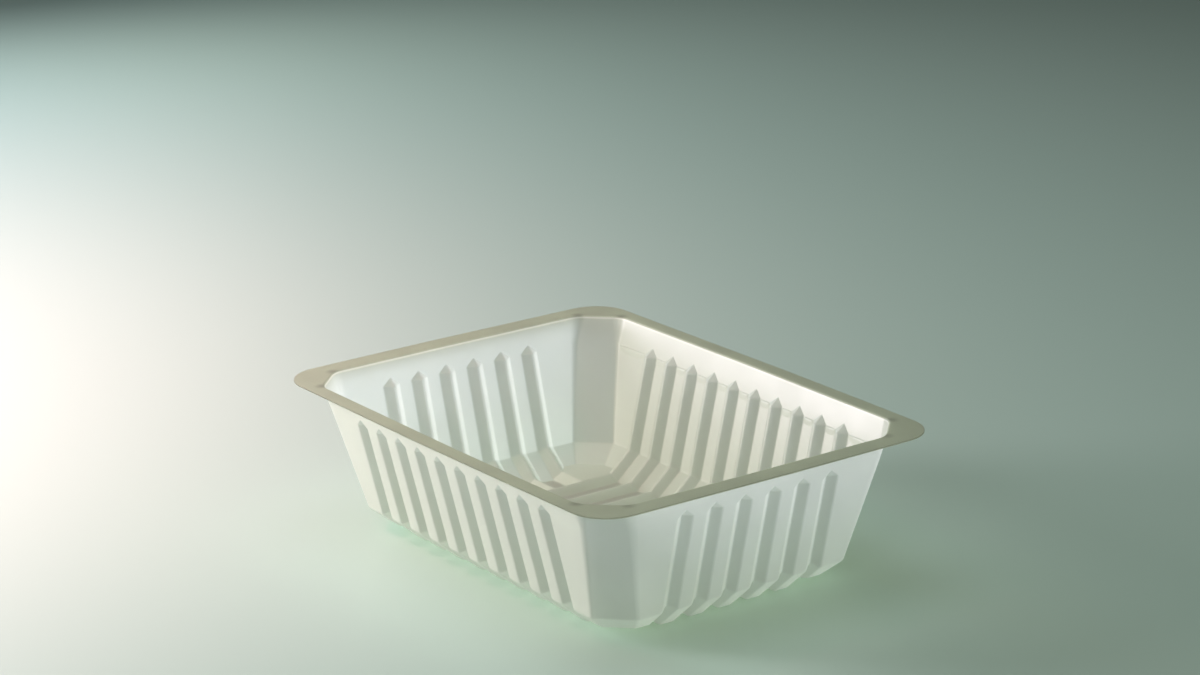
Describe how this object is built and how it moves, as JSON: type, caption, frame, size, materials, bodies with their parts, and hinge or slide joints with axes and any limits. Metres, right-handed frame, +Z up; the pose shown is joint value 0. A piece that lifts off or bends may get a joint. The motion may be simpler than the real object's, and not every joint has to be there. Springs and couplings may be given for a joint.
{
  "type": "sealable food tray",
  "caption": "Open rectangular tray of frosted translucent plastic with a flat sealing flange, tapered walls, pointed wall ribs, flat corner facets and a cross-ribbed floor.",
  "frame": {"origin": "centre of the tray's outline at the level of the floor panels it stands on", "axes": "+X along the long side, +Y along the short side, +Z up out of the tray's mouth"},
  "size_m": [0.187, 0.138, 0.052],
  "materials": {
    "frosted_plastic": "frosted translucent polypropylene sheet, formed, with a soft satin gloss"
  },
  "bodies": {
    "root": {"tray": "frosted_plastic"}
  },
  "joints": []
}
